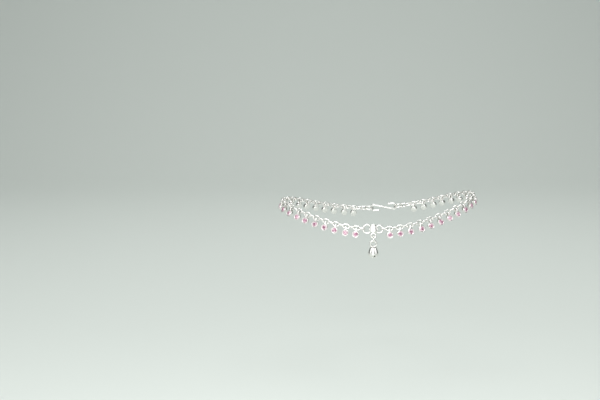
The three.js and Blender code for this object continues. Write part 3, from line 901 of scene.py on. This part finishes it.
bell_radii, bell_heights = rounded(form[:, 0]), rounded(form[:, 1])
above_seam = (bell_heights - BELL_SEAM_SHARE) * BELL_HEIGHT
seam = BELL_SEAM_PROUD * np.exp(-((above_seam / BELL_SEAM_WIDTH) ** 2))
outer_form = [
    (max(r * wide + proud, 0), bell_top - BELL_HEIGHT * (1 - h))
    for r, h, proud in zip(bell_radii, bell_heights, seam)
]
outer_form[0], outer_form[-1] = (0, outer_form[0][1]), (0, outer_form[-1][1])
inner_form = [(0, bell_top - BELL_HEIGHT + BELL_WALL)]
inner_form += [
    (max(r * wide - BELL_WALL, 0.05), bell_top - BELL_HEIGHT * (1 - h) + 0.25 * BELL_WALL)
    for r, h in zip(bell_radii, bell_heights)
    if 0.1 < h < 0.8 and r > 0.5
]
inner_form.append((0, bell_top - BELL_HEIGHT * 0.2))


def temporary(name, mesh):
    """An object for the bell's cuts alone."""
    made = bpy.data.objects.new(name, mesh)
    bpy.context.collection.objects.link(made)
    return made


bell_at = Matrix.Translation(bell_pin)
bell_body = temporary("bell_body", mesh_of("bell_body", [lathe(outer_form, 64)], bell_at))
bell_hollow = temporary("bell_hollow", mesh_of("bell_hollow", [lathe(inner_form, 48)], bell_at))
slit_turn = Matrix.Rotation(math.radians(BELL_SLIT_TURN), 4, "Z")
slit_half = BELL_SLIT_WIDTH / 2
slit_low, slit_high = bell_top - BELL_HEIGHT - 1, bell_top - BELL_HEIGHT + BELL_SLIT_HEIGHT
slit_shape = block((-slit_half, -BELL_DIAMETER, slit_low), (slit_half, BELL_DIAMETER, slit_high))
bell_slit = temporary("bell_slit", mesh_of("bell_slit", [slit_shape], bell_at @ slit_turn))
ring_line = [(x, y, z + bell_ring_centre) for x, y, z in ring_path(BELL_RING_DIAMETER, BELL_RING_WIRE)]
ring_shape = wire_along(ring_line, BELL_RING_WIRE, closed=True)
bell_ring = temporary("bell_ring", mesh_of("bell_ring", [ring_shape], bell_at))
for tool, how in ((bell_ring, "UNION"), (bell_hollow, "DIFFERENCE"), (bell_slit, "DIFFERENCE")):
    cut = bell_body.modifiers.new(how, "BOOLEAN")
    cut.operation = how
    cut.solver = "EXACT"
    cut.object = tool
bell_cut = bell_body.evaluated_get(bpy.context.evaluated_depsgraph_get())
bell_mesh = bpy.data.meshes.new_from_object(bell_cut)
for tool in (bell_body, bell_hollow, bell_slit, bell_ring):
    bpy.data.objects.remove(tool)
bell_mesh.set_sharp_from_angle(angle=math.radians(38))
silver_piece("ghungroo_bell", bell_mesh, "bell", "ghungroo")

# Floor, light and camera

# A pale sweep of matt paper under and behind, lit by large soft boxes, and the photograph's own view.
PAPER_LEVEL, PAPER_HALF_WIDTH, PAPER_FRONT, PAPER_TOP = -86.0, 2000.0, -1500.0, 1800.0
PAPER_BEND_AT, PAPER_BEND_RADIUS = 500.0, 400.0
CAMERA_AIM, CAMERA_DISTANCE = (-43.3, 0.0, 0.0), 786.0
CAMERA_ELEVATION, CAMERA_LENS = 11.0, 85.0

paper, tree = material_named("matt_paper")
on_sheet = add(tree, "ShaderNodeTexCoord").outputs["Object"]
sheet_fibre = add(tree, "ShaderNodeTexNoise", {"Scale": 1 / (4 * MM), "Detail": 3.0}, {"Vector": on_sheet})
fibre_bump = add(
    tree,
    "ShaderNodeBump",
    {"Strength": 0.05, "Distance": 0.1 * MM},
    {"Height": sheet_fibre.outputs["Fac"]},
)
matt = add(
    tree,
    "ShaderNodeBsdfPrincipled",
    {"Base Color": linear("#CFD5D0"), "Roughness": 0.85},
    {"Normal": fibre_bump.outputs["Normal"]},
)
add(tree, "ShaderNodeOutputMaterial", links={"Surface": matt.outputs["BSDF"]})

sweep = [(PAPER_FRONT, PAPER_LEVEL), (PAPER_BEND_AT, PAPER_LEVEL)]
sweep += [
    (PAPER_BEND_AT + PAPER_BEND_RADIUS * math.sin(a), PAPER_LEVEL + PAPER_BEND_RADIUS * (1 - math.cos(a)))
    for a in np.linspace(0.1, math.pi / 2, 15)
]
sweep.append((PAPER_BEND_AT + PAPER_BEND_RADIUS, PAPER_TOP))
paper_points = [Vector((x, y, z)) for y, z in sweep for x in (-PAPER_HALF_WIDTH, PAPER_HALF_WIDTH)]
paper_faces = [[2 * i, 2 * i + 1, 2 * i + 3, 2 * i + 2] for i in range(len(sweep) - 1)]
backdrop = bpy.data.objects.new("paper_sweep", mesh_of("paper_sweep", [(paper_points, paper_faces)]))
backdrop.data.materials.append(paper)
bpy.context.collection.objects.link(backdrop)

world = bpy.data.worlds.new("studio")
world.use_nodes = True
world.node_tree.nodes["Background"].inputs["Color"].default_value = linear("#B4BAB8")
world.node_tree.nodes["Background"].inputs["Strength"].default_value = 0.42
bpy.context.scene.world = world
bpy.context.scene.view_settings.view_transform = "Standard"

# The last box lights only the paper in front, out of sight, which the lower faces of the silver mirror.
for name, place, aim, size, power in (
    ("front_box", (-150, -1000, 270), (0, 0, 0), 760, 3.6),
    ("key_box", (-260, -520, 600), (0, 0, 0), 380, 1.1),
    ("right_box", (600, -300, 280), (0, 0, 0), 460, 1.0),
    ("left_box", (-620, -260, 240), (0, 0, 0), 420, 0.8),
    ("top_box", (0, 300, 700), (0, 0, 0), 520, 4.0),
    ("low_box", (-40, -430, 200), (-40, -430, -86), 300, 1.2),
):
    lamp = bpy.data.lights.new(name, "AREA")
    lamp.size = size * MM
    lamp.energy = power
    box_light = bpy.data.objects.new(name, lamp)
    box_light.location = Vector(place) * MM
    box_light.rotation_mode = "QUATERNION"
    box_light.rotation_quaternion = (Vector(aim) - Vector(place)).to_track_quat("-Z", "Y")
    bpy.context.collection.objects.link(box_light)

camera = bpy.data.cameras.new("camera")
camera.lens = CAMERA_LENS
camera.sensor_width = 36.0
camera.clip_start, camera.clip_end = 0.01, 20.0
camera_object = bpy.data.objects.new("camera", camera)
tilt = math.radians(CAMERA_ELEVATION)
look_back = Vector((0, -math.cos(tilt), math.sin(tilt)))
camera_object.location = (Vector(CAMERA_AIM) + look_back * CAMERA_DISTANCE) * MM
camera_object.rotation_mode = "QUATERNION"
camera_object.rotation_quaternion = (-look_back).to_track_quat("-Z", "Y")
bpy.context.collection.objects.link(camera_object)
bpy.context.scene.camera = camera_object
